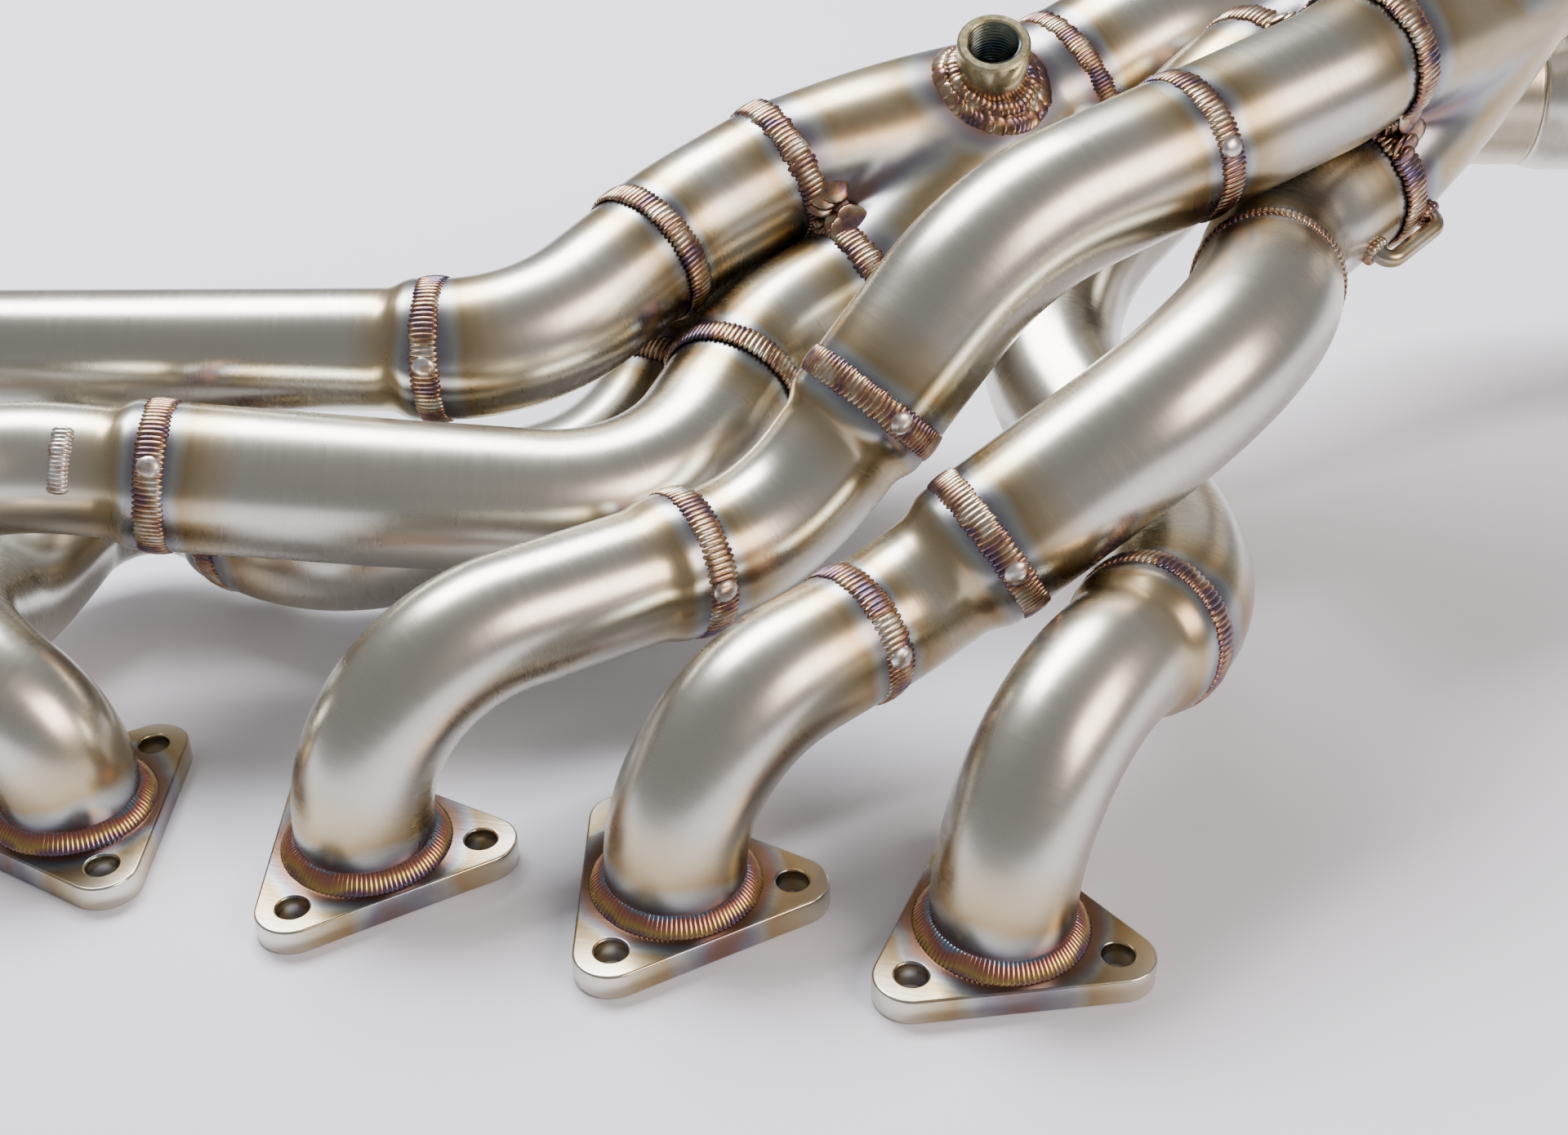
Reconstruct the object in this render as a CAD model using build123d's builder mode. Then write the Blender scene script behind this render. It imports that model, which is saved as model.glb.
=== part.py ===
from build123d import *
import math
import os

# Exhaust manifold for an in-line six: six bent and stepped tubes run from six small
# flanges to two three-into-one collectors. Sizes are in mm, +Z is away from the head.
# The flange faces lie in the plane Z = 0 and the third port's neighbour, port 4, is at X = Y = 0.

# ports and flanges
port_pitch = 91.0
port_count = 6
origin_port = 4
flange_thickness = 8.0
bolt_circle = 65.0
bolt_hole = 9.0
bolt_hole_chamfer = 0.7
flange_corner_radius = 10.5
flange_turn = {1: 71.0, 2: 71.0, 3: 71.0, 4: 12.0, 5: 11.0, 6: -11.0}

# tubes
small_tube = 40.0
large_tube = 46.0
sleeve_tube = 48.0
tube_wall = 1.5
tube_recess = 1.5
bore_clearance = 0.1
lip_cone = 9.0
lip_flat = 7.0
socket_lip = 44.0

# welds
bead_width = 6.0
bead_height = 1.3
flange_weld_leg = 4.7
brace_rod = 6.0

# collectors and outlets
collector_spacing = 49.0
collector_length = 112.0
outlet_tube = 60.0
outlet_wall = 1.8
outlet_ring = 14.0
socket_length = 42.0
socket_wall = 2.0
socket_clearance = 0.3
boss_diameter = 25.0
boss_bore = 16.4
boss_height = 24.0
boss_weld_radius = 18.0


def unit(v):
    return v * (1 / v.length)


class Collector:
    # where three tubes enter, the way they point, and the turn of the three about that line
    def __init__(self, entry, way, turn):
        self.entry = Vector(*entry)
        self.axis = unit(Vector(*way))
        self.side = unit(Vector(self.axis.Y, -self.axis.X, 0))
        self.rise = self.side.cross(self.axis)
        self.turn = turn

    def radial(self, angle):
        a = math.radians(angle)
        return self.side * math.cos(a) + self.rise * math.sin(a)

    def inlet(self, which):
        return self.entry + self.radial(self.turn + 120 * which) * (collector_spacing / math.sqrt(3))

    def lead(self, which, length):
        return self.inlet(which) - self.axis * length

    def along(self, distance):
        return self.entry + self.axis * distance

    def outlet(self):
        return self.along(collector_length)


front = Collector((86, 236, 99), (0.72, 0.62, 0.32), 105)
rear = Collector((256, 261, 152), (0.60, 0.76, 0.24), 56)


def port(number):
    return Vector((number - origin_port) * port_pitch, 0, 0)


def from_port(number, x, y, z):
    return port(number) + Vector(x, y, z)


class Route:
    # a centre line of straight runs joined by round bends
    def __init__(self, points, radii):
        self.points = points
        self.legs = []
        self.bends = []
        start = points[0]
        for before, corner, after, radius in zip(points, points[1:], points[2:], radii):
            u, w = unit(corner - before), unit(after - corner)
            half = math.acos(max(-1, min(1, u.dot(w)))) / 2
            reach = radius * math.tan(half)
            middle = corner + unit(w - u) * (radius / math.cos(half) - radius)
            self.legs.append((start, corner - u * reach))
            self.bends.append((corner - u * reach, middle, corner + w * reach))
            start = corner + w * reach
        self.legs.append((start, points[-1]))

    def spot(self, leg, share):
        a, b = self.legs[leg]
        return a + (b - a) * share

    def way(self, leg):
        a, b = self.legs[leg]
        return unit(b - a)

    def piece(self, start, end, cut_back=0.0, cut_front=0.0):
        # the runs and bends from one joint to the next, each joint a (leg, share) pair
        first, last = start[0], end[0]
        here = self.spot(*start) + self.way(first) * cut_front
        edges = []
        for k in range(first, last):
            a, m, b = self.bends[k]
            edges.append(Line(here, a))
            edges.append(ThreePointArc(a, m, b))
            here = b
        edges.append(Line(here, self.spot(*end) - self.way(last) * cut_back))
        return Wire(edges), self.spot(*start) + self.way(first) * cut_front, self.way(first)


def bent_tube(route, start, end, diameter, end_lip=0.0, wall=tube_wall):
    # a drawn tube, its far end opened out to end_lip where it has one
    cone, flat = (lip_cone, lip_flat) if end_lip else (0, 0)
    path, origin, way = route.piece(start, end, cut_back=cone + flat)
    finish, forward = route.spot(*end), route.way(end[0])
    with BuildPart() as tube:
        with BuildSketch(Plane(origin=origin, z_dir=way)):
            Circle(diameter / 2)
            Circle(diameter / 2 - wall, mode=Mode.SUBTRACT)
        sweep(path=path)
        if end_lip:
            neck = finish - forward * (cone + flat)
            mouth = finish - forward * flat
            with BuildSketch(Plane(origin=neck, z_dir=forward)):
                Circle(diameter / 2)
            with BuildSketch(Plane(origin=mouth, z_dir=forward)):
                Circle(end_lip / 2)
            loft(ruled=True)
            with BuildSketch(Plane(origin=mouth, z_dir=forward)):
                Circle(end_lip / 2)
            extrude(amount=flat)
            with BuildSketch(Plane(origin=neck, z_dir=forward)):
                Circle(diameter / 2 - wall)
            with BuildSketch(Plane(origin=mouth, z_dir=forward)):
                Circle(end_lip / 2 - wall)
            loft(ruled=True, mode=Mode.SUBTRACT)
            with BuildSketch(Plane(origin=mouth, z_dir=forward)):
                Circle(end_lip / 2 - wall)
            extrude(amount=flat, mode=Mode.SUBTRACT)
    return tube


def ring_bead(centre, way, diameter):
    # a domed bead laid round a butt joint
    r = diameter / 2
    plane = Plane(origin=centre, x_dir=Plane(origin=centre, z_dir=way).x_dir, z_dir=way)
    section = Plane(origin=centre, x_dir=plane.x_dir, z_dir=way.cross(plane.x_dir) * -1)
    with BuildPart() as bead:
        with BuildSketch(section):
            with BuildLine():
                Line((r, -bead_width / 2), (r, bead_width / 2))
                ThreePointArc((r, bead_width / 2), (r + bead_height, 0), (r, -bead_width / 2))
            make_face()
        revolve(axis=Axis(centre, way))
    return bead


def corner_bead(centre, way, diameter, leg):
    # a fillet bead in the corner between a flat face and the tube that stands on it
    r = diameter / 2
    plane = Plane(origin=centre, z_dir=way)
    section = Plane(origin=centre, x_dir=plane.x_dir, z_dir=way.cross(plane.x_dir) * -1)
    bulge = leg * 0.42
    with BuildPart() as bead:
        with BuildSketch(section):
            with BuildLine():
                Line((r, 0), (r + leg, 0))
                ThreePointArc((r + leg, 0), (r + leg - bulge, leg - bulge), (r, leg))
                Line((r, leg), (r, 0))
            make_face()
        revolve(axis=Axis(centre, way))
    return bead


def save(name, build):
    build.part.label = name
    export_step(build.part, "parts/" + name + ".step")


os.makedirs("parts", exist_ok=True)

# six flanges, each a rounded triangle of plate with three bolt holes
for number in range(1, port_count + 1):
    turn = flange_turn[number]
    seat = port(number)
    with BuildPart() as flange:
        with BuildSketch(Plane(origin=seat)):
            with PolarLocations(bolt_circle / 2, 3, start_angle=turn):
                Circle(flange_corner_radius)
            make_hull()
            Circle(small_tube / 2 + bore_clearance, mode=Mode.SUBTRACT)
            with PolarLocations(bolt_circle / 2, 3, start_angle=turn):
                Circle(bolt_hole / 2, mode=Mode.SUBTRACT)
        extrude(amount=flange_thickness)
        hole_rims = flange.edges().filter_by(GeomType.CIRCLE)
        hole_rims = hole_rims.filter_by(
            lambda e: abs(e.radius - bolt_hole / 2) < 0.01 and e.arc_center.Z > flange_thickness / 2)
        chamfer(hole_rims, bolt_hole_chamfer)
    save("flange_" + str(number), flange)
    weld_seat = seat + Vector(0, 0, flange_thickness)
    save("flange_weld_" + str(number), corner_bead(weld_seat, Vector(0, 0, 1), small_tube, flange_weld_leg))

# centre lines of the six tubes, port by port
low = tube_recess
routes = {
    1: Route([from_port(1, 0, 0, low), from_port(1, 0, 0, 86), Vector(-190, 118, 88),
              Vector(8, 150, 92), front.lead(0, 40), front.inlet(0)],
             [55, 60, 60, 80]),
    2: Route([from_port(2, 0, 0, low), from_port(2, 0, 0, 88), Vector(-134, 62, 83),
              Vector(-20, 92, 68), Vector(58, 114, 58), front.lead(-1, 40), front.inlet(-1)],
             [50, 60, 120, 60, 70]),
    3: Route([from_port(3, 0, 0, low), from_port(3, 0, 0, 32), Vector(-130, 4, 60),
              Vector(-146, 66, 27), Vector(-140, 140, 38), Vector(-50, 108, 31),
              Vector(30, 182, 34), front.lead(1, 45), front.inlet(1)],
             [34, 30, 55, 30, 50, 70, 50]),
    4: Route([from_port(4, 0, 0, low), from_port(4, 0, 0, 66), Vector(100, 92, 67),
              Vector(158, 146, 146), rear.lead(0, 19), rear.inlet(0)],
             [50, 60, 90, 70]),
    5: Route([from_port(5, 0, 0, low), from_port(5, 0, 0, 57), Vector(143, 60, 66),
              Vector(236, 117, 132), rear.lead(-1, 45), rear.inlet(-1)],
             [48, 45, 75, 60]),
    6: Route([from_port(6, 0, 0, low), from_port(6, 0, 0, 70), Vector(227, 94, 60),
              Vector(158, 222, 84), rear.lead(1, 15), rear.inlet(1)],
             [50, 55, 60, 45]),
}

# joints along each centre line, and for each tube between them its diameter and end lip
joints = {
    1: [(0, 0), (2, 0.99), (3, 0.85), (4, 1)],
    2: [(0, 0), (2, 0.3), (4, 0.98), (5, 1)],
    3: [(0, 0), (4, 0.8), (6, 0.5), (7, 1)],
    4: [(0, 0), (1, 0.93), (2, 0.42), (3, 0.45), (4, 1)],
    5: [(0, 0), (1, 0.85), (2, 0.3), (3, 0.3), (4, 1)],
    6: [(0, 0), (1, 0.98), (3, 0.85), (4, 1)],
}
tubes = {
    1: [(small_tube, large_tube), (large_tube, 0), (sleeve_tube, 0)],
    2: [(small_tube, large_tube), (large_tube, 0), (sleeve_tube, 0)],
    3: [(small_tube, large_tube), (large_tube, 0), (sleeve_tube, 0)],
    4: [(small_tube, socket_lip), (small_tube, large_tube), (large_tube, 0), (large_tube, 0)],
    5: [(small_tube, 0), (small_tube, large_tube), (large_tube, 0), (large_tube, 0)],
    6: [(small_tube, large_tube), (large_tube, 0), (sleeve_tube, 0)],
}

for number, route in routes.items():
    bench = front if number <= 3 else rear
    marks = joints[number]
    for k, (diameter, end_lip) in enumerate(tubes[number]):
        name = "tube_" + str(number) + "_" + "abcd"[k]
        save(name, bent_tube(route, marks[k], marks[k + 1], diameter, end_lip))
    for k, mark in enumerate(marks[1:-1]):
        lip = tubes[number][k][1] or tubes[number][k][0]
        following = tubes[number][k + 1][0]
        spot, way = route.spot(*mark), route.way(mark[0])
        name = "weld_" + str(number) + "_" + "abc"[k]
        if following < lip:
            save(name, corner_bead(spot, way, following, (lip - following) / 2 + 1.5))
        elif following > lip:
            save(name, corner_bead(spot, way * -1, lip, (following - lip) / 2 + 1.5))
        else:
            save(name, ring_bead(spot, way, following))


def collector_shell(c, grow):
    # three cones that run together into one round outlet
    mouth = sleeve_tube / 2 + grow
    throat = outlet_tube / 2 + grow
    flare_end = c.along(collector_length - outlet_ring)
    with BuildPart() as body:
        for k in range(3):
            with BuildSketch(Plane(origin=c.inlet(k), z_dir=c.axis)):
                Circle(mouth)
            with BuildSketch(Plane(origin=flare_end + c.axis * 2, z_dir=c.axis)):
                Circle(throat - 0.6)
            loft(ruled=True)
        with BuildSketch(Plane(origin=flare_end, z_dir=c.axis)):
            Circle(throat)
        extrude(amount=outlet_ring)
    return body.part


def outward_hole(c, angle, distance, low_end, high_end, radius):
    # a round plug that points out of a collector's side
    out = c.radial(angle)
    with BuildPart() as plug:
        with BuildSketch(Plane(origin=c.along(distance) + out * low_end, x_dir=c.axis, z_dir=out)):
            Circle(radius)
        extrude(amount=high_end - low_end)
    return plug.part


# the two collectors, each with a threaded boss for an oxygen sensor in its side
boss_angle = 64.0
boss_distance = 76.0
boss_inner_end = 25.0
boss_outer_end = 33.0 + boss_height - 4.0
for c, place in ((front, "front"), (rear, "rear")):
    out = c.radial(boss_angle)
    filled = collector_shell(c, 0)
    with BuildPart() as body:
        add(filled)
        add(collector_shell(c, -tube_wall), mode=Mode.SUBTRACT)
        add(outward_hole(c, boss_angle, boss_distance, 5, 60, boss_diameter / 2 + bore_clearance),
            mode=Mode.SUBTRACT)
    save("collector_" + place, body)
    with BuildPart() as boss:
        add(outward_hole(c, boss_angle, boss_distance, boss_inner_end, boss_outer_end, boss_diameter / 2))
        add(outward_hole(c, boss_angle, boss_distance, boss_inner_end - 1, boss_outer_end + 1, boss_bore / 2),
            mode=Mode.SUBTRACT)
        mouth = boss.edges().filter_by(GeomType.CIRCLE)
        mouth = mouth.filter_by(lambda e: (e.arc_center - c.along(boss_distance)).length > 40)
        chamfer(mouth, 0.8)
    save("boss_" + place, boss)
    with BuildPart() as collar:
        add(outward_hole(c, boss_angle, boss_distance, 18, 38, boss_weld_radius))
        crown = collar.edges().filter_by(GeomType.CIRCLE)
        crown = crown.filter_by(lambda e: (e.arc_center - c.along(boss_distance)).length > 30)
        chamfer(crown, 4.5)
        add(outward_hole(c, boss_angle, boss_distance, 10, 60, boss_diameter / 2 + bore_clearance),
            mode=Mode.SUBTRACT)
        add(filled, mode=Mode.SUBTRACT)
    save("boss_weld_" + place, collar)

# outlet pipes, and the sockets that the down pipes slip into
away = unit(Vector(100, 20, 0))
last_bend = {"front": Vector(306, 415, 108), "rear": rear.along(collector_length + 50)}
pipes = {
    "front": Route([front.outlet(), front.along(collector_length + 38), Vector(262, 398, 148),
                    last_bend["front"], last_bend["front"] + away * 38], [50, 66, 66]),
    "rear": Route([rear.outlet(), last_bend["rear"], last_bend["rear"] + away * 66], [60]),
}
pipe_legs = {"front": 3, "rear": 1}
socket_bore = outlet_tube / 2 + socket_clearance / 2
socket_cone = 8.0
for c, place in ((front, "front"), (rear, "rear")):
    route = pipes[place]
    end = (pipe_legs[place], 1)
    save("outlet_" + place, bent_tube(route, (0, 0), end, outlet_tube, wall=outlet_wall))
    save("weld_outlet_" + place, ring_bead(c.outlet(), c.axis, outlet_tube))
    mouth, way = route.spot(*end), route.way(end[0])
    profile = [(outlet_tube / 2 - outlet_wall, 0), (outlet_tube / 2, 0),
               (socket_bore + socket_wall, socket_cone), (socket_bore + socket_wall, socket_length),
               (socket_bore, socket_length), (socket_bore, socket_cone)]
    side = Plane(origin=mouth, z_dir=way).x_dir
    with BuildPart() as socket:
        with BuildSketch(Plane(origin=mouth, x_dir=side, z_dir=side.cross(way))):
            with BuildLine():
                Polyline(*profile, close=True)
            make_face()
        revolve(axis=Axis(mouth, way))
    save("socket_" + place, socket)

# a bent rod that stays the middle tube of the rear three to its collector
stay_angle = -22.0
stay_stand_off = 6.0
stay_start, stay_finish = -20.0, 7.0
stay_bend = 4.0
middle_tube = rear.inlet(-1)
out = rear.radial(stay_angle)
root_one = middle_tube + rear.axis * stay_start + out * (large_tube / 2 + 0.05)
root_two = middle_tube + rear.axis * stay_finish + out * (sleeve_tube / 2 + 0.05)
top_one = middle_tube + rear.axis * stay_start + out * (sleeve_tube / 2 + stay_stand_off)
top_two = middle_tube + rear.axis * stay_finish + out * (sleeve_tube / 2 + stay_stand_off)
stay_route = Route([root_one, top_one, top_two, root_two], [stay_bend, stay_bend])
stay_path, stay_foot, stay_way = stay_route.piece((0, 0), (2, 1))
with BuildPart() as stay:
    with BuildSketch(Plane(origin=stay_foot, z_dir=stay_way)):
        Circle(brace_rod / 2)
    sweep(path=stay_path)
save("stay_rod", stay)
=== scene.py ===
import bpy
import math
import random
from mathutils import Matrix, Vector
from mathutils.geometry import tessellate_polygon


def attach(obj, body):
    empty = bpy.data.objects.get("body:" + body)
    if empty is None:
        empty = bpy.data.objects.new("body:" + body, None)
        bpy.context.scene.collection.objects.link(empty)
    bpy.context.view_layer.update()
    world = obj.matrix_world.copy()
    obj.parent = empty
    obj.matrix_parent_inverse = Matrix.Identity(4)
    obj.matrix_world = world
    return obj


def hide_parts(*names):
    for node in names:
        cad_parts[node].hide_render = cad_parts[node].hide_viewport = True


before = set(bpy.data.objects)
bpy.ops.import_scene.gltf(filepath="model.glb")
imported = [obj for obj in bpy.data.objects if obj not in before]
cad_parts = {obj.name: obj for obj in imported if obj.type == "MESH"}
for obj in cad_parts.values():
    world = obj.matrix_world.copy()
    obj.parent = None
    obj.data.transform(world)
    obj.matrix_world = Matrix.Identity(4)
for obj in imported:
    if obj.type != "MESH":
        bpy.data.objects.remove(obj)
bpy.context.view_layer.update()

# The port flanges: six rounded triangles of 8 mm stainless plate, laser cut, with three bolt
# holes each and their edges eased. The plate face is stained in rings by the weld's heat.
MM = 0.001
PORT_PITCH = 91 * MM
PLATE = 8.0
GAS_WAY = 20.1 * MM
BOLT_RING = 32.5 * MM
BOLT_HOLE = 4.5 * MM
CORNER = 10.5 * MM
TURN = {1: 71, 2: 71, 3: 71, 4: 12, 5: 11, 6: -11}
# depth into the plate, and how far the edge is cut back there
EASED = [(0.0, 0.7), (0.2, 0.2), (0.7, 0.0)]
FILLET_TOE = 24.7 * MM


def port(number):
    return Vector(((number - 4) * PORT_PITCH, 0, 0))


def node(tree, kind, **settings):
    made = tree.nodes.new(kind)
    for key, value in settings.items():
        setattr(made, key, value)
    return made


def sums(tree, operation, a, b=0.0, clamp=False):
    step = node(tree, "ShaderNodeMath", operation=operation, use_clamp=clamp)
    for socket, value in zip(step.inputs, (a, b)):
        if isinstance(value, (int, float)):
            socket.default_value = value
        else:
            tree.links.new(value, socket)
    return step.outputs[0]


def cloud(tree, where, scale, detail=3.0, stretch=(1, 1, 1)):
    spread = node(tree, "ShaderNodeMapping")
    spread.inputs["Scale"].default_value = stretch
    tree.links.new(where, spread.inputs["Vector"])
    noise = node(tree, "ShaderNodeTexNoise")
    noise.inputs["Scale"].default_value = scale
    noise.inputs["Detail"].default_value = detail
    tree.links.new(spread.outputs[0], noise.inputs["Vector"])
    return noise.outputs[0]


def ramp(tree, value, stops):
    colours = node(tree, "ShaderNodeValToRGB")
    while len(colours.color_ramp.elements) < len(stops):
        colours.color_ramp.elements.new(0.5)
    for element, (place, colour) in zip(colours.color_ramp.elements, stops):
        element.position = place
        element.color = (*colour, 1)
    tree.links.new(value, colours.inputs[0])
    return colours.outputs[0]


def darkened(tree, factor, colour, tint):
    mix = node(tree, "ShaderNodeMix", data_type="RGBA", blend_type="MULTIPLY")
    tree.links.new(factor, mix.inputs[0])
    tree.links.new(colour, mix.inputs[6])
    mix.inputs[7].default_value = (*tint, 1)
    return mix.outputs[2]


def metal(name):
    material = bpy.data.materials.new(name)
    material.use_nodes = True
    tree = material.node_tree
    shader = tree.nodes["Principled BSDF"]
    shader.inputs["Metallic"].default_value = 1.0
    return material, tree, shader, node(tree, "ShaderNodeTexCoord").outputs["Object"]


# heat colours from the bead outward, as oxide on stainless steel
HEAT = [(0.0, (0.24, 0.15, 0.11)), (0.09, (0.26, 0.18, 0.17)), (0.18, (0.26, 0.27, 0.33)),
        (0.28, (0.40, 0.42, 0.41)), (0.40, (0.42, 0.33, 0.20)), (0.66, (0.56, 0.49, 0.35))]
STAIN_WANDER = 7 * MM
SCRATCH_DEPTH = 0.15 * MM


def heat_steel(name, gap_of, grain, roughness, reach, tone):
    # stainless steel whose colour follows the distance from the nearest weld, out to the reach,
    # and is the bare tone beyond it
    material, tree, shader, place = metal(name)
    gap = gap_of(tree, place)
    wander = sums(tree, "MULTIPLY", sums(tree, "SUBTRACT", cloud(tree, place, 70), 0.5),
                  STAIN_WANDER)
    share = sums(tree, "DIVIDE", sums(tree, "ADD", gap, wander), reach, clamp=True)
    stain = ramp(tree, share, HEAT + [(1.0, tone)])
    patch = cloud(tree, place, 16)
    streak = grain(tree, place)
    body = darkened(tree, patch, stain, (0.97, 0.93, 0.86))
    colour = darkened(tree, sums(tree, "MULTIPLY", streak, 0.20), body, (0.78, 0.74, 0.68))
    tree.links.new(colour, shader.inputs["Base Color"])
    rough = sums(tree, "ADD", sums(tree, "MULTIPLY", streak, 0.07),
                 sums(tree, "MULTIPLY", patch, 0.12))
    tree.links.new(sums(tree, "ADD", rough, roughness - 0.12), shader.inputs["Roughness"])
    bump = node(tree, "ShaderNodeBump")
    bump.inputs["Strength"].default_value = 0.10
    bump.inputs["Distance"].default_value = SCRATCH_DEPTH
    tree.links.new(streak, bump.inputs["Height"])
    tree.links.new(bump.outputs[0], shader.inputs["Normal"])
    return material


def plate_gap(tree, place):
    # the distance from the toe of the nearest port's weld
    split = node(tree, "ShaderNodeSeparateXYZ")
    tree.links.new(place, split.inputs[0])
    across = sums(tree, "PINGPONG", split.outputs[0], PORT_PITCH / 2)
    square = sums(tree, "ADD", sums(tree, "MULTIPLY", across, across),
                  sums(tree, "MULTIPLY", split.outputs[1], split.outputs[1]))
    return sums(tree, "SUBTRACT", sums(tree, "SQRT", square), FILLET_TOE)


def mill_grain(tree, place):
    return cloud(tree, place, 900, 2.0, (0.15, 1, 1))


plate_steel = heat_steel("plate_steel", plate_gap, mill_grain, 0.25, 0.018,
                         (0.70, 0.68, 0.62))


def mesh_piece(name, points, faces, material, stands_for):
    mesh = bpy.data.meshes.new(name)
    mesh.from_pydata([tuple(p) for p in points], [], faces)
    mesh.materials.append(material)
    mesh.polygons.foreach_set("use_smooth", [True] * len(mesh.polygons))
    mesh.update()
    piece = bpy.data.objects.new(name, mesh)
    bpy.context.scene.collection.objects.link(piece)
    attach(piece, "root")
    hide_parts(*stands_for)
    return piece


def band(low, high, around, inward=False):
    # the quads between two rings of points, each ring given by its first point
    quads = []
    for i in range(around):
        j = (i + 1) % around
        quads.append((low + j, low + i, high + i, high + j) if inward else
                     (low + i, low + j, high + j, high + i))
    return quads


def spoke_at(a):
    return Vector((math.cos(a), math.sin(a), 0))


def plate_loops(seat, turn, ease, hole_ease):
    # the outline, the gas way and the three bolt holes of one layer of a plate
    outline, holes = [], [(seat, GAS_WAY)]
    for k in range(3):
        middle = math.radians(turn + 120 * k)
        centre = seat + spoke_at(middle) * BOLT_RING
        holes.append((centre, BOLT_HOLE))
        outline += [centre + spoke_at(middle + math.radians(-60 + 7.5 * step)) * (CORNER - ease)
                    for step in range(17)]
    return [outline] + [[centre + spoke_at(-math.tau * i / 48) * (radius + hole_ease)
                         for i in range(48)] for centre, radius in holes]


for number in range(1, 7):
    points, faces, layers = [], [], []
    for height, ease in EASED + [(PLATE - depth, ease) for depth, ease in reversed(EASED)]:
        # the holes are eased only where the bolt heads sit
        hole_ease = ease if height > PLATE / 2 else 0.0
        layer = []
        for loop in plate_loops(port(number), TURN[number], ease * MM, hole_ease * MM):
            layer.append(range(len(points), len(points) + len(loop)))
            points += [p + Vector((0, 0, height * MM)) for p in loop]
        layers.append(layer)
    for lower, upper in zip(layers, layers[1:]):
        for low, high in zip(lower, upper):
            faces += band(low[0], high[0], len(low))
    walls = len(faces)
    for layer, underside in ((layers[0], True), (layers[-1], False)):
        flat = [i for loop in layer for i in loop]
        for tri in tessellate_polygon([[points[i] for i in loop] for loop in layer]):
            a, b, c = (flat[i] for i in tri)
            up = (points[b] - points[a]).cross(points[c] - points[a]).z > 0
            faces.append((a, c, b) if up == underside else (a, b, c))
    plate = mesh_piece("port_flange_%d" % number, points, faces, plate_steel,
                       ["flange_%d" % number])
    for face in plate.data.polygons[walls:]:
        face.use_smooth = False


# The tubes: drawn stainless tube, 40 mm at the ports, opened to 46 mm part of the way and 48 mm
# in the sleeves at the collectors. Each run is bent on a former and butt welded to the next.
SMALL, OPENED, LARGE, SLEEVE = 40, 44, 46, 48
TUBE_WALL = 1.5 * MM
TUBE_SEAT = 1.5
PORT_WELD = 8.5 * MM
FLARE, FLAT = 9, 7
INLET_RING = 49 / math.sqrt(3)


def unit(v):
    return v.normalized()


def mmv(x, y, z):
    return Vector((x, y, z)) * MM


class Collector:
    # where three tubes meet: distances run along its axis from the inlets, in mm
    def __init__(self, entry, way, turn):
        self.entry = Vector(entry) * MM
        self.axis = unit(Vector(way))
        self.side = unit(Vector((self.axis.y, -self.axis.x, 0)))
        self.rise = self.side.cross(self.axis)
        self.turn = turn

    def radial(self, angle):
        a = math.radians(angle)
        return self.side * math.cos(a) + self.rise * math.sin(a)

    def inlet(self, which):
        return self.entry + self.radial(self.turn + 120 * which) * (INLET_RING * MM)

    def lead(self, which, length):
        return self.inlet(which) - self.axis * (length * MM)

    def along(self, distance):
        return self.entry + self.axis * (distance * MM)


front = Collector((86, 236, 99), (0.72, 0.62, 0.32), 105)
rear = Collector((256, 261, 152), (0.60, 0.76, 0.24), 56)
banks = (("front", front), ("rear", rear))


class Route:
    # straight legs joined by round bends; a joint's place is (leg, share of that leg)
    def __init__(self, points, radii):
        self.legs, self.bends = [], []
        start = points[0]
        for before, corner, after, radius in zip(points, points[1:], points[2:], radii):
            u, w = unit(corner - before), unit(after - corner)
            half = math.acos(max(-1, min(1, u.dot(w)))) / 2
            radius *= MM
            reach = radius * math.tan(half)
            hub = corner + unit(w - u) * (radius / math.cos(half))
            self.legs.append((start, corner - u * reach))
            self.bends.append((hub, radius, u, w, half * 2))
            start = corner + w * reach
        self.legs.append((start, points[-1]))

    def spot(self, leg, share):
        a, b = self.legs[leg]
        return a + (b - a) * share

    def way(self, leg):
        a, b = self.legs[leg]
        return unit(b - a)

    def line(self, start, end, step=2.5 * MM):
        # closely spaced (place, direction) pairs from one joint to another
        made = []

        def straight(a, b, way):
            count = max(1, math.ceil((b - a).length / step))
            for i in range(count):
                made.append((a + (b - a) * (i / count), way))

        here = self.spot(*start)
        for k in range(start[0], end[0]):
            hub, radius, u, w, swing = self.bends[k]
            straight(here, self.legs[k][1], u)
            inward = unit(hub - self.legs[k][1])
            count = max(2, math.ceil(radius * swing / step))
            for i in range(count):
                a = swing * i / count
                made.append((hub - inward * (radius * math.cos(a)) + u * (radius * math.sin(a)),
                             u * math.cos(a) + inward * math.sin(a)))
            here = self.legs[k + 1][0]
        finish = self.spot(*end)
        straight(here, finish, self.way(end[0]))
        made.append((finish, self.way(end[0])))
        return made


def from_port(number, height):
    # the first straight, from inside the flange up to the first corner
    return [port(number) + mmv(0, 0, TUBE_SEAT), port(number) + mmv(0, 0, height)]


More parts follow.
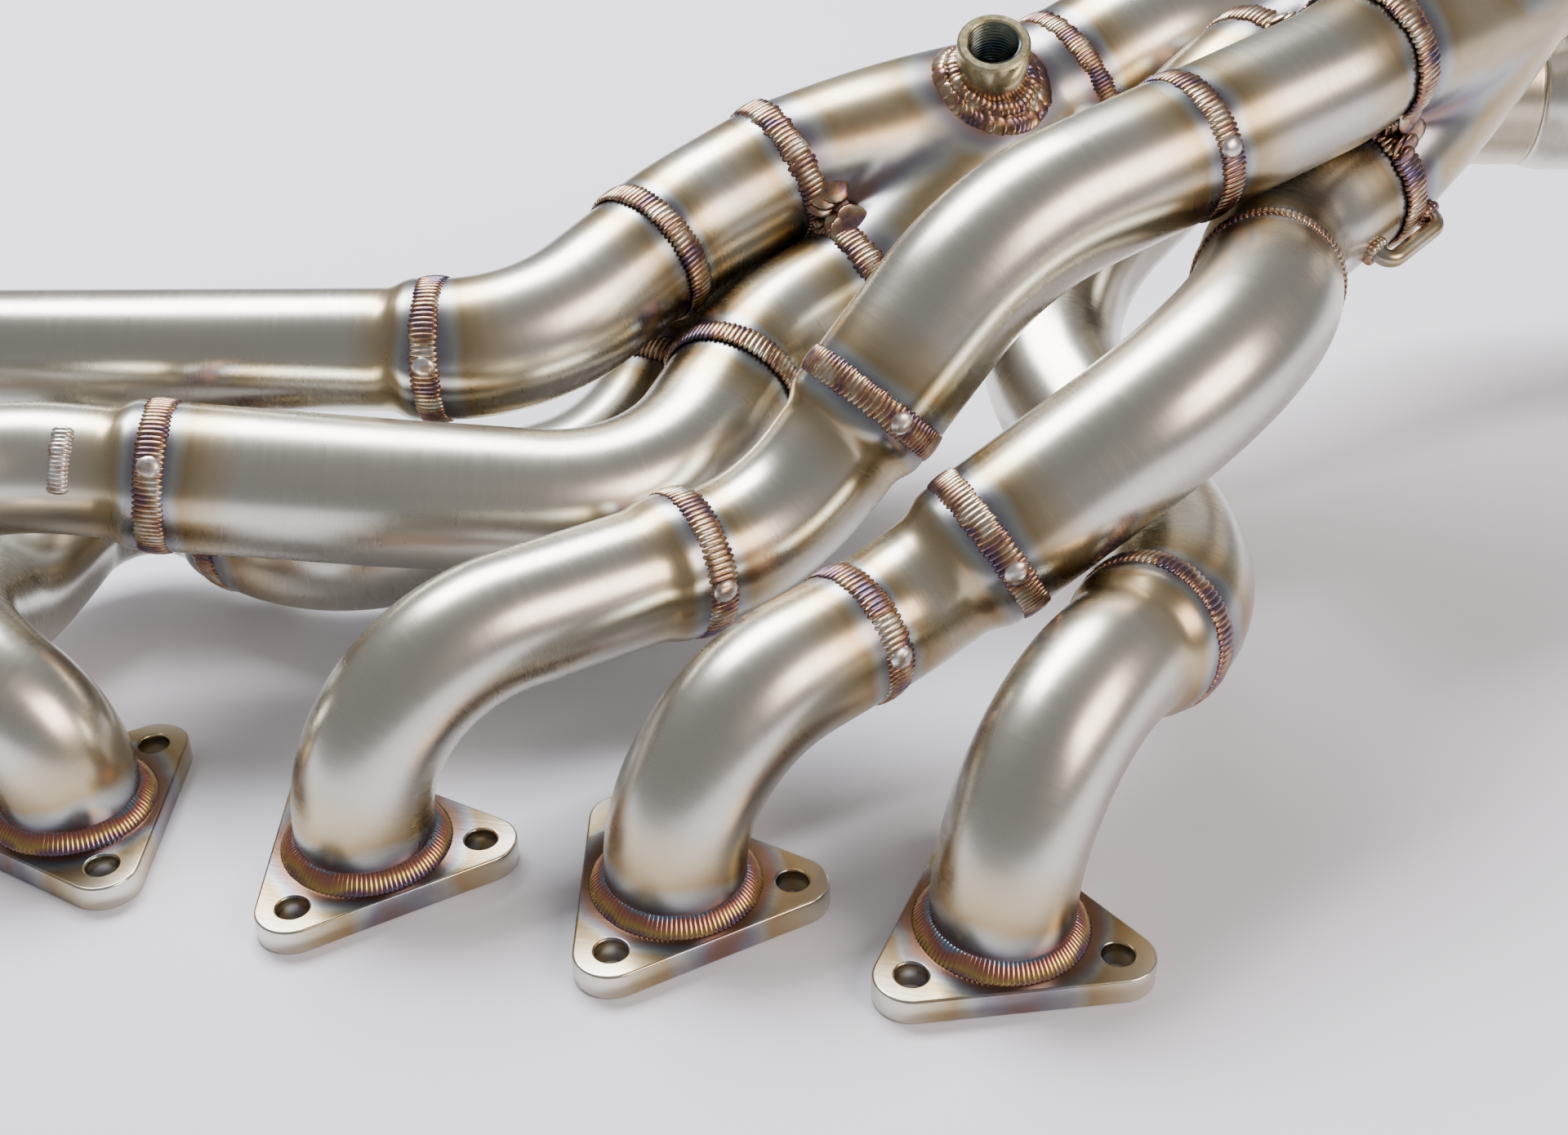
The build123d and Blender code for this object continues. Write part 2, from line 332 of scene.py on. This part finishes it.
routes = {
    1: Route(from_port(1, 86) + [mmv(-190, 118, 88), mmv(8, 150, 92), front.lead(0, 40),
                                 front.inlet(0)], [55, 60, 60, 80]),
    2: Route(from_port(2, 88) + [mmv(-134, 62, 83), mmv(-20, 92, 68), mmv(58, 114, 58),
                                 front.lead(-1, 40), front.inlet(-1)], [50, 60, 120, 60, 70]),
    3: Route(from_port(3, 32) + [mmv(-130, 4, 60), mmv(-146, 66, 27), mmv(-140, 140, 38),
                                 mmv(-50, 108, 31), mmv(30, 182, 34), front.lead(1, 45),
                                 front.inlet(1)], [34, 30, 55, 30, 50, 70, 50]),
    4: Route(from_port(4, 66) + [mmv(100, 92, 67), mmv(158, 146, 146), rear.lead(0, 19),
                                 rear.inlet(0)], [50, 60, 90, 70]),
    5: Route(from_port(5, 57) + [mmv(143, 60, 66), mmv(236, 117, 132), rear.lead(-1, 45),
                                 rear.inlet(-1)], [48, 45, 75, 60]),
    6: Route(from_port(6, 70) + [mmv(227, 94, 60), mmv(158, 222, 84), rear.lead(1, 15),
                                 rear.inlet(1)], [50, 55, 60, 45]),
}
joints = {
    1: [(0, 0), (2, 0.99), (3, 0.85), (4, 1)],
    2: [(0, 0), (2, 0.3), (4, 0.98), (5, 1)],
    3: [(0, 0), (4, 0.8), (6, 0.5), (7, 1)],
    4: [(0, 0), (1, 0.93), (2, 0.42), (3, 0.45), (4, 1)],
    5: [(0, 0), (1, 0.85), (2, 0.3), (3, 0.3), (4, 1)],
    6: [(0, 0), (1, 0.98), (3, 0.85), (4, 1)],
}
# the diameter of each piece, and of its opened end where it has one
tubes = {
    1: [(SMALL, LARGE), (LARGE, 0), (SLEEVE, 0)],
    2: [(SMALL, LARGE), (LARGE, 0), (SLEEVE, 0)],
    3: [(SMALL, LARGE), (LARGE, 0), (SLEEVE, 0)],
    4: [(SMALL, OPENED), (SMALL, LARGE), (LARGE, 0), (LARGE, 0)],
    5: [(SMALL, 0), (SMALL, LARGE), (LARGE, 0), (LARGE, 0)],
    6: [(SMALL, LARGE), (LARGE, 0), (SLEEVE, 0)],
}


def stored_gap(tree, place):
    return node(tree, "ShaderNodeAttribute", attribute_name="weld_gap").outputs["Fac"]


def belt_grain(tree, place):
    # a sanding belt leaves its lines round the tube
    lay = node(tree, "ShaderNodeAttribute", attribute_name="lay").outputs["Vector"]
    return cloud(tree, lay, 500, 3.0, (1, 0.12, 0.12))


tube_steel = heat_steel("tube_steel", stored_gap, belt_grain, 0.30, 0.026, (0.62, 0.61, 0.56))


def store(mesh, title, values, kind="FLOAT_VECTOR"):
    # keeps a vector or a number on every point
    held = mesh.attributes.new(title, kind, "POINT")
    held.data.foreach_set({"FLOAT_VECTOR": "vector", "FLOAT": "value"}[kind], values)


def double_skin(rings, around):
    # the first half of the rings is the outer skin, the second the inner; both ends are closed
    outer, inner = rings[:len(rings) // 2], rings[len(rings) // 2:]
    faces = band(outer[0], inner[0], around, inward=True) + band(outer[-1], inner[-1], around)
    for a, b in zip(outer, outer[1:]):
        faces += band(a, b, around)
    for a, b in zip(inner, inner[1:]):
        faces += band(a, b, around, inward=True)
    return faces


def swept_tube(name, line, radius_at, wall, material, stands_for, gap_at, around=64):
    along = [0.0]
    for (a, _), (b, _) in zip(line, line[1:]):
        along.append(along[-1] + (b - a).length)
    length = along[-1]
    turned = line[0][1].orthogonal().normalized()
    rings = []
    for (place, way), s in zip(line, along):
        turned = unit(turned - way * turned.dot(way))
        rings.append((place, turned, way.cross(turned), s))
    points, lays, gaps = [], [], []
    for inset in (0.0, wall):
        for place, u, v, s in rings:
            r = radius_at(s, length) - inset
            for i in range(around):
                a = math.tau * i / around
                points.append(place + u * (r * math.cos(a)) + v * (r * math.sin(a)))
                lays += (s, r * math.cos(a), r * math.sin(a))
                gaps.append(gap_at(s, length))
    faces = double_skin(range(0, len(points), around), around)
    piece = mesh_piece(name, points, faces, material, stands_for)
    store(piece.data, "lay", lays)
    store(piece.data, "weld_gap", gaps, "FLOAT")


def opened_end(diameter, lip):
    # the end is expanded over a cone and a flat where the next tube is larger
    def radius_at(s, length):
        left = (length - s) / MM
        if not lip or left > FLARE + FLAT:
            return diameter / 2 * MM
        share = min(1.0, (FLARE + FLAT - left) / FLARE)
        share = share * share * (3 - 2 * share)
        return (diameter + (lip - diameter) * share) / 2 * MM
    return radius_at


for number, route in routes.items():
    marks = joints[number]
    for k, (diameter, lip) in enumerate(tubes[number]):
        first_weld = PORT_WELD if k == 0 else 0.0
        letter = "abcd"[k]
        swept_tube("runner_%d_%s" % (number, letter), route.line(marks[k], marks[k + 1]),
                   opened_end(diameter, lip), TUBE_WALL, tube_steel,
                   ["tube_%d_%s" % (number, letter)],
                   lambda s, length: min(abs(s - first_weld), length - s))


# The beads: hand TIG welds with filler rod, each a row of overlapping ripples like stacked
# coins. They are left unbrushed, so the ripples keep their copper, purple and silver colours.
def bare_metal(name, tint_of, smoothest, spread=0.0, grain=0):
    material, tree, shader, place = metal(name)
    tree.links.new(tint_of(tree, place), shader.inputs["Base Color"])
    shader.inputs["Roughness"].default_value = smoothest
    if spread:
        rough = sums(tree, "MULTIPLY", cloud(tree, place, grain), spread)
        tree.links.new(sums(tree, "ADD", rough, smoothest), shader.inputs["Roughness"])
    return material


def patches(scale, stops, detail=3.0):
    return lambda tree, place: ramp(tree, cloud(tree, place, scale, detail), stops)


bead_steel = bare_metal("bead_steel", patches(110, [
    (0.30, (0.12, 0.10, 0.16)), (0.42, (0.20, 0.12, 0.13)), (0.50, (0.36, 0.21, 0.13)),
    (0.58, (0.46, 0.36, 0.25)), (0.72, (0.62, 0.58, 0.52))], 4.0), 0.16, 0.25, 600)

ripples = bpy.data.node_groups.new("weld_ripples", "GeometryNodeTree")
sockets = {}
for title, way, kind, value in (
        ("Spots", "INPUT", "NodeSocketGeometry", None),
        ("Unevenness", "INPUT", "NodeSocketFloat", 0.12),
        ("Seed", "INPUT", "NodeSocketInt", 1),
        ("Steel", "INPUT", "NodeSocketMaterial", None),
        ("Bead", "OUTPUT", "NodeSocketGeometry", None)):
    socket = ripples.interface.new_socket(name=title, in_out=way, socket_type=kind)
    if value is not None:
        socket.default_value = value
    sockets[title] = socket.identifier
entry = node(ripples, "NodeGroupInput")
leave = node(ripples, "NodeGroupOutput")


def spot_value(name):
    read = node(ripples, "GeometryNodeInputNamedAttribute", data_type="FLOAT_VECTOR")
    read.inputs["Name"].default_value = name
    return read.outputs["Attribute"]


def turn_to(axis, vector, rotation=None, pivot="AUTO"):
    align = node(ripples, "FunctionNodeAlignRotationToVector", axis=axis, pivot_axis=pivot)
    ripples.links.new(vector, align.inputs["Vector"])
    if rotation:
        ripples.links.new(rotation, align.inputs["Rotation"])
    return align.outputs[0]


coin = node(ripples, "GeometryNodeMeshUVSphere")
coin.inputs["Segments"].default_value = 12
coin.inputs["Rings"].default_value = 8
coin.inputs["Radius"].default_value = 1.0
aimed = turn_to("X", spot_value("across"), turn_to("Z", spot_value("travel")), "Z")
uneven = node(ripples, "FunctionNodeRandomValue", data_type="FLOAT")
ripples.links.new(sums(ripples, "SUBTRACT", 1.0, entry.outputs["Unevenness"]), uneven.inputs[2])
ripples.links.new(sums(ripples, "ADD", 1.0, entry.outputs["Unevenness"]), uneven.inputs[3])
ripples.links.new(entry.outputs["Seed"], uneven.inputs["Seed"])
sized = node(ripples, "ShaderNodeVectorMath", operation="SCALE")
ripples.links.new(spot_value("size"), sized.inputs[0])
ripples.links.new(uneven.outputs[1], sized.inputs["Scale"])
repeat = node(ripples, "GeometryNodeInstanceOnPoints")
ripples.links.new(entry.outputs["Spots"], repeat.inputs["Points"])
ripples.links.new(coin.outputs["Mesh"], repeat.inputs["Instance"])
ripples.links.new(aimed, repeat.inputs["Rotation"])
ripples.links.new(sized.outputs[0], repeat.inputs["Scale"])
solid = node(ripples, "GeometryNodeRealizeInstances")
ripples.links.new(repeat.outputs[0], solid.inputs[0])
soft = node(ripples, "GeometryNodeSetShadeSmooth")
ripples.links.new(solid.outputs[0], soft.inputs[0])
paint = node(ripples, "GeometryNodeSetMaterial")
ripples.links.new(soft.outputs[0], paint.inputs["Geometry"])
ripples.links.new(entry.outputs["Steel"], paint.inputs["Material"])
ripples.links.new(paint.outputs[0], leave.inputs["Bead"])


def bead(name, spots, stands_for, seed, unevenness=0.10, material=bead_steel):
    # spots are (place, travel, across, size) and size is (half width, half height, half length)
    mesh = bpy.data.meshes.new(name + "_spots")
    mesh.from_pydata([tuple(s[0]) for s in spots], [], [])
    for index, title in ((1, "travel"), (2, "across"), (3, "size")):
        store(mesh, title, [x for s in spots for x in s[index]])
    source = bpy.data.objects.new(name + "_spots", mesh)
    bpy.context.scene.collection.objects.link(source)
    modifier = source.modifiers.new("ripples", "NODES")
    modifier.node_group = ripples
    modifier[sockets["Unevenness"]] = unevenness
    modifier[sockets["Seed"]] = seed
    modifier[sockets["Steel"]] = material
    graph = bpy.context.evaluated_depsgraph_get()
    done = bpy.data.meshes.new_from_object(source.evaluated_get(graph))
    source.modifiers.remove(modifier)
    bpy.data.objects.remove(source)
    done.name = name
    piece = bpy.data.objects.new(name, done)
    bpy.context.scene.collection.objects.link(piece)
    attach(piece, "root")
    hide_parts(*stands_for)


def ring_spots(centre, way, radius, size, pitch, slope=0.0, facing=None, start=0.0, sweep=360.0):
    # ripples round a tube, or over the part of it that start and sweep give in degrees from the
    # side that is faced; slope turns their width from along the tube to across it
    out = unit(way.orthogonal() if facing is None else facing - way * facing.dot(way))
    over = way.cross(out)
    count = max(1, round(math.radians(sweep) * radius / (pitch * MM)))
    made = []
    for i in range(count):
        a = math.radians(start + sweep * i / count)
        spoke = out * math.cos(a) + over * math.sin(a)
        across = way * math.cos(slope) - spoke * math.sin(slope)
        made.append((centre + spoke * radius, way.cross(spoke), across,
                     tuple(x * MM for x in size)))
    return made


# the flange fillets run hotter: gold at the tube, then copper red, and blue at the plate
FILLET_WIDTH = 6.5 * MM
FILLET_START = 5.0 * MM


def fillet_tint(tree, place):
    outward = sums(tree, "DIVIDE", sums(tree, "ADD", plate_gap(tree, place), FILLET_START),
                   FILLET_WIDTH)
    patchy = sums(tree, "MULTIPLY", sums(tree, "SUBTRACT", cloud(tree, place, 60), 0.5), 1.1)
    return ramp(tree, sums(tree, "ADD", outward, patchy, clamp=True), [
        (0.0, (0.20, 0.26, 0.34)), (0.18, (0.34, 0.15, 0.13)), (0.38, (0.46, 0.21, 0.13)),
        (0.56, (0.52, 0.36, 0.13)), (0.76, (0.24, 0.13, 0.17)), (1.0, (0.15, 0.21, 0.33))])


fillet_steel = bare_metal("fillet_steel", fillet_tint, 0.14, 0.2, 500)

# the bright button of metal where a weld is started and stopped
button_steel = bare_metal("button_steel", patches(300, [
    (0.35, (0.50, 0.36, 0.28)), (0.55, (0.74, 0.72, 0.70))]), 0.16, 0.3, 700)

FILLET_HEIGHT = 9.6
FILLET_RING = 21.4 * MM
BEAD_SUNK = 0.1 * MM


def joint_radius(number, k):
    # half the larger of the two ends that meet
    (diameter, lip), (following, _) = tubes[number][k:k + 2]
    return max(lip or diameter, following) / 2 * MM


for number, route in routes.items():
    bead("flange_bead_%d" % number,
         ring_spots(port(number) + mmv(0, 0, FILLET_HEIGHT), Vector((0, 0, 1)), FILLET_RING,
                    (4.9, 1.6, 1.5), 1.3, math.pi / 4),
         ["flange_weld_%d" % number], number, 0.03, fillet_steel)
    for k, mark in enumerate(joints[number][1:-1]):
        bead("runner_bead_%d_%s" % (number, "abc"[k]),
             ring_spots(route.spot(*mark), route.way(mark[0]), joint_radius(number, k) - BEAD_SUNK,
                        (4.8, 1.15, 1.45), 1.8),
             ["weld_%d_%s" % (number, "abc"[k])], 10 * number + k, 0.06)

# which tube, which of its joints, and the degrees round from the outside
STARTS = [(1, 0, 25), (2, 0, 0), (4, 1, 38), (4, 2, 30), (5, 1, 35), (4, 0, 40), (5, 0, 42)]
OUTSIDE = Vector((0.0, -0.8, 0.6))
buttons = []
for number, k, turn in STARTS:
    mark = joints[number][k + 1]
    buttons += ring_spots(routes[number].spot(*mark), routes[number].way(mark[0]),
                          joint_radius(number, k), (4.0, 1.9, 3.6), 1.0,
                          facing=OUTSIDE, start=turn, sweep=1)
bead("start_buttons", buttons, [], 61, 0.05, button_steel)

# a short oval patch across the second tube, where a probe hole was welded shut
patch_leg, patch_share = 2, 0.03
bead("patch_bead",
     ring_spots(routes[2].spot(patch_leg, patch_share), routes[2].way(patch_leg), SMALL / 2 * MM,
                (3.2, 1.7, 1.4), 1.3, facing=OUTSIDE, start=-28, sweep=56),
     [], 62, 0.08, button_steel)


# The collectors: three cones of pressed sheet run together into one 60 mm outlet. The valleys
# between them and the joint with the three sleeves are filled by hand, rough and uneven.
SHEET = 1.5 * MM
MERGE_LENGTH = 112.0
SPIGOT_START = 98.0
CONE_LENGTH = 100.0
CONE_GROWTH = 5.4
CONE_BULGE = 2.5
VALLEY_FILL = 16.0
VALLEY_STAIN, STAIN_FADE = 30 * MM, 0.2 * MM
LEAST_RADIUS = 12.0
OUTLET_RADIUS = 30
BOSS_ANGLE, BOSS_DISTANCE = 64.0, 76.0
BOSS_WELD = 17 * MM
FILLER_LUMPS = 16


def pressed_grain(tree, place):
    return cloud(tree, place, 260, 4.0)


collector_steel = heat_steel("collector_steel", stored_gap, pressed_grain, 0.32, 0.040,
                             (0.54, 0.49, 0.40))


def shell_radius(c, s, angle):
    # how far the skin stands from the collector's axis, s mm past its inlets
    if s >= SPIGOT_START:
        return OUTLET_RADIUS * MM
    share = s / CONE_LENGTH
    off = INLET_RING * (1 - share)
    size = SLEEVE / 2 + CONE_GROWTH * share + CONE_BULGE * math.sin(math.pi * share)
    reach = []
    for k in range(3):
        a = math.radians(angle - c.turn - 120 * k)
        inside = size * size - (off * math.sin(a)) ** 2
        reach.append(off * math.cos(a) + math.sqrt(max(inside, 0)))
    reach.sort()
    soft = VALLEY_FILL * (1 - share) + 0.01
    near = max(soft - (reach[2] - reach[1]), 0) / soft
    return max(reach[2] + near * near * soft / 4, LEAST_RADIUS) * MM


def on_shell(c, s, angle):
    return c.along(s) + c.radial(angle) * shell_radius(c, s, angle)


for side, (name, c) in enumerate(banks):
    around, rows = 180, 57
    boss_foot = on_shell(c, BOSS_DISTANCE, BOSS_ANGLE)
    points, gaps = [], []
    for inset in (0.0, SHEET):
        for row in range(rows):
            s = MERGE_LENGTH * row / (rows - 1)
            for i in range(around):
                angle = 360 * i / around
                p = c.along(s) + c.radial(angle) * (shell_radius(c, s, angle) - inset)
                points.append(p)
                # the filled valleys are stained too, less so towards the outlet
                valley = abs((angle - c.turn) % 120 - 60) / 60 * VALLEY_STAIN + s * STAIN_FADE
                gaps.append(max(0.0, min(s * MM, (MERGE_LENGTH - s) * MM,
                                         (p - boss_foot).length - BOSS_WELD, valley)))
    shell = mesh_piece("merge_" + name, points, double_skin(range(0, len(points), around), around),
                       collector_steel, ["collector_" + name])
    store(shell.data, "weld_gap", gaps, "FLOAT")
    chance = random.Random(7 + side)
    spots = []
    for which in range(3):
        spots += ring_spots(c.inlet(which), c.axis, SLEEVE / 2 * MM, (5.4, 1.5, 1.7), 1.9)
        angle = c.turn + 120 * which + 60
        for _ in range(FILLER_LUMPS):
            s, swing = chance.uniform(-1, 8), chance.uniform(-16, 16)
            size = chance.uniform(5.0, 7.5)
            spots.append((on_shell(c, max(s, 0), angle + swing), c.axis, c.radial(angle + 90),
                          (size * MM, 1.2 * MM, size * 0.8 * MM)))
    bead("inlet_bead_" + name, spots, [], 71 + side)


# The sensor bosses: short turned bungs of brassy stainless bar with an M18 thread cut inside,
# each set through its collector's wall and welded round with a heavy, lumpy fillet.
BOSS_RADIUS = 12.5
BOSS_FOOT, BOSS_TOP = 25.0, 53.0
BOSS_CHAMFER = 0.8
THREAD_ROOT, THREAD_CREST, THREAD_LEAD = 9.0, 8.2, 1.5
THREAD_CHAMFER = 0.6
THREAD_RUNOUT = 0.2
THREAD_ROWS = 150
# ring radius, size of its ripples and how high they stand, from the toe of the fillet inwards
BOSS_RIPPLES = [(19.0, (4.0, 1.0, 3.2), 0.3), (16.3, (4.6, 1.9, 3.0), 0.3),
                (13.6, (3.8, 3.0, 2.8), 1.9)]
BOSS_RIPPLE_PITCH = 2.0

boss_steel = bare_metal("boss_steel", patches(60, [
    (0.35, (0.50, 0.42, 0.24)), (0.65, (0.70, 0.63, 0.42))]), 0.15, 0.2, 500)
# inside, the thread is coloured dark and blue: painted shade of the deep bore, not a colour of the
# metal
thread_steel_painted_shade = bare_metal("thread_steel_painted_shade", patches(90, [
    (0.35, (0.05, 0.08, 0.10)), (0.65, (0.20, 0.22, 0.17))]), 0.25)


def fillet_foot(c, hub, out, spoke, radius):
    # how far out along the boss this place of its fillet meets the collector's skin, in mm
    low, high = 5.0, 45.0
    for _ in range(18):
        half = (low + high) / 2
        rel = hub + (out * half + spoke * radius) * MM - c.entry
        s = rel.dot(c.axis) / MM
        flat = rel - c.axis * rel.dot(c.axis)
        angle = math.degrees(math.atan2(flat.dot(c.rise), flat.dot(c.side)))
        if flat.length < shell_radius(c, s, angle):
            low = half
        else:
            high = half
    return half


for side, (name, c) in enumerate(banks):
    out = c.radial(BOSS_ANGLE)
    hub = c.along(BOSS_DISTANCE)
    u, v = c.axis, out.cross(c.axis)
    around = 72
    thread_top = BOSS_TOP - THREAD_CHAMFER
    thread_depth = thread_top - BOSS_FOOT - THREAD_RUNOUT
    profile = [(BOSS_RADIUS, BOSS_FOOT), (BOSS_RADIUS, BOSS_TOP - BOSS_CHAMFER),
               (BOSS_RADIUS - BOSS_CHAMFER, BOSS_TOP), (THREAD_ROOT + THREAD_CHAMFER, BOSS_TOP),
               (THREAD_ROOT, thread_top)]
    profile += [(None, thread_top - thread_depth * i / THREAD_ROWS)
                for i in range(1, THREAD_ROWS)]
    profile += [(THREAD_ROOT, BOSS_FOOT + THREAD_RUNOUT),
                (THREAD_ROOT + THREAD_CHAMFER, BOSS_FOOT)]
    rows = range(len(profile))
    points, faces = [], []
    for radius, height in profile:
        for i in range(around):
            a = math.tau * i / around
            r = radius
            if r is None:
                turn = (height / THREAD_LEAD + i / around) % 1.0
                r = THREAD_CREST + (THREAD_ROOT - THREAD_CREST) * abs(2 * turn - 1)
            points.append(hub + out * (height * MM) + (u * math.cos(a) + v * math.sin(a)) * (r * MM))
    for row in rows:
        faces += band(row * around, (row + 1) % len(profile) * around, around)
    boss = mesh_piece("bung_" + name, points, faces, boss_steel, ["boss_" + name])
    # the thread rows inside take the material painted dark as the shade of the bore
    boss.data.materials.append(thread_steel_painted_shade)
    inside, sharp = range(4, len(profile) - 3), (1, 2, 3, len(profile) - 1)
    boss.data.polygons.foreach_set(
        "material_index", [int(row in inside) for row in rows for _ in range(around)])
    boss.data.polygons.foreach_set(
        "use_smooth", [row not in sharp for row in rows for _ in range(around)])
    chance = random.Random(21 + side)
    spots = []
    for radius, size, height in BOSS_RIPPLES:
        count = round(math.tau * radius / BOSS_RIPPLE_PITCH)
        for i in range(count):
            a = math.tau * i / count
            spoke = u * math.cos(a) + v * math.sin(a)
            lift = fillet_foot(c, hub, out, spoke, radius) + height + chance.uniform(-0.4, 0.5)
            spots.append((hub + (out * lift + spoke * radius) * MM, spoke.cross(out),
                          unit(out - spoke), tuple(x * MM for x in size)))
    bead("bung_bead_" + name, spots, ["boss_weld_" + name], 81 + side)


# The outlets: 60 mm pipe bent away along the engine, with an expanded socket at the end of
# each for the down pipe. The pipe is butt welded to its collector.
PIPE_WALL = 1.8 * MM
SOCKET_WALL = 2.0 * MM
SOCKET_LENGTH = 42 * MM
SOCKET_FLARE = 8 * MM
SOCKET_GROWTH = 2.15
# the pipe's far end has no weld, and the socket has none near enough to stain it
PIPE_END_GAP, SOCKET_GAP = 20 * MM, 30 * MM

away = unit(Vector((100, 20, 0)))
bend_front = mmv(306, 415, 108)
bend_rear = rear.along(MERGE_LENGTH + 50)
pipes = {
    "front": Route([front.along(MERGE_LENGTH), front.along(MERGE_LENGTH + 38),
                    mmv(262, 398, 148), bend_front, bend_front + away * (38 * MM)], [50, 66, 66]),
    "rear": Route([rear.along(MERGE_LENGTH), bend_rear, bend_rear + away * (66 * MM)], [60]),
}
for side, (name, c) in enumerate(banks):
    route = pipes[name]
    last = len(route.legs) - 1
    swept_tube("down_" + name, route.line((0, 0), (last, 1)),
               lambda s, length: OUTLET_RADIUS * MM, PIPE_WALL, tube_steel,
               ["outlet_" + name], lambda s, length: min(s, max(PIPE_END_GAP, length - s)), 80)
    bead("down_bead_" + name,
         ring_spots(c.along(MERGE_LENGTH), c.axis, OUTLET_RADIUS * MM - BEAD_SUNK,
                    (4.2, 1.2, 1.2), 1.4),
         ["weld_outlet_" + name], 91 + side)
    mouth, way = route.spot(last, 1), route.way(last)
    swept_tube("cup_" + name, [(mouth + way * (SOCKET_LENGTH * i / 21), way) for i in range(22)],
               lambda s, length: (OUTLET_RADIUS + SOCKET_GROWTH * min(1, s / SOCKET_FLARE)) * MM,
               SOCKET_WALL, tube_steel, ["socket_" + name],
               lambda s, length: SOCKET_GAP, 80)


# The stay: a bent 6 mm rod tacked at both feet between the rear bank's middle tube and its
# collector, to keep the joint from cracking.
STAY_START, STAY_FINISH = -20, 7
STAY_ANGLE = -22
STAY_HEIGHT = 30
ROD_RADIUS = 3 * MM
FOOT_CLEAR = 0.05
ROD_GAP = 4 * MM
TACK_RING, TACK_LIFT = 3.6 * MM, 0.6 * MM
stay_out = rear.radial(STAY_ANGLE)


def beside_inlet(along, height):
    return rear.inlet(-1) + rear.axis * (along * MM) + stay_out * (height * MM)


tube_foot = beside_inlet(STAY_START, LARGE / 2 + FOOT_CLEAR)
collector_foot = beside_inlet(STAY_FINISH, SLEEVE / 2 + FOOT_CLEAR)
stay = Route([tube_foot, beside_inlet(STAY_START, STAY_HEIGHT),
              beside_inlet(STAY_FINISH, STAY_HEIGHT), collector_foot], [4, 4])
swept_tube("stay", stay.line((0, 0), (2, 1), 1 * MM), lambda s, length: ROD_RADIUS,
           ROD_RADIUS - 0.01 * MM, tube_steel, ["stay_rod"],
           lambda s, length: min(s, length - s) + ROD_GAP, 24)
tacks = []
for foot in (tube_foot, collector_foot):
    tacks += ring_spots(foot + stay_out * TACK_LIFT, stay_out, TACK_RING, (1.8, 1.6, 1.6), 1.9)
bead("stay_tacks", tacks, [], 95, 0.25)


# The studio: a pale matt table, two large soft lights and a faint cool fill.
floor_mesh = bpy.data.meshes.new("table")
floor_mesh.from_pydata([(-6, -4, 0), (6, -4, 0), (6, 9, 0), (-6, 9, 0)], [], [(0, 1, 2, 3)])
floor = bpy.data.objects.new("table", floor_mesh)
bpy.context.scene.collection.objects.link(floor)
paper = bpy.data.materials.new("pale_paper")
paper.use_nodes = True
shader = paper.node_tree.nodes["Principled BSDF"]
shader.inputs["Base Color"].default_value = (0.86, 0.88, 0.98, 1)
shader.inputs["Roughness"].default_value = 0.7
floor_mesh.materials.append(paper)

world = bpy.data.worlds.new("studio")
bpy.context.scene.world = world
world.use_nodes = True
world.node_tree.nodes["Background"].inputs["Color"].default_value = (0.74, 0.73, 0.74, 1)
world.node_tree.nodes["Background"].inputs["Strength"].default_value = 0.42

LIT_SPOT = Vector((0.1, 0.15, 0))


def soft_light(name, place, size, power, colour):
    data = bpy.data.lights.new(name, "AREA")
    data.shape, data.size, data.size_y = "RECTANGLE", size[0], size[1]
    data.energy, data.color = power, colour
    lamp = bpy.data.objects.new(name, data)
    bpy.context.scene.collection.objects.link(lamp)
    lamp.location = place
    lamp.rotation_euler = (LIT_SPOT - Vector(place)).to_track_quat("-Z", "Y").to_euler()


soft_light("window", (-0.5, 0.9, 1.5), (1.3, 0.8), 70, (1.0, 0.98, 0.97))
soft_light("bounce", (1.4, -0.4, 1.0), (0.9, 0.7), 20, (1.0, 0.80, 0.70))

AZIMUTH, ELEVATION = math.radians(10.979), math.radians(32.464)
back = Vector((math.sin(AZIMUTH) * math.cos(ELEVATION), -math.cos(AZIMUTH) * math.cos(ELEVATION),
               math.sin(ELEVATION)))
camera_data = bpy.data.cameras.new("camera")
camera_data.lens, camera_data.sensor_width = 46.875, 36
camera_data.clip_start, camera_data.clip_end = 0.01, 50
camera = bpy.data.objects.new("camera", camera_data)
bpy.context.scene.collection.objects.link(camera)
camera.location = mmv(203.31, -420.82, 388.04)
camera.rotation_euler = (-back).to_track_quat("-Z", "Y").to_euler()
bpy.context.scene.camera = camera
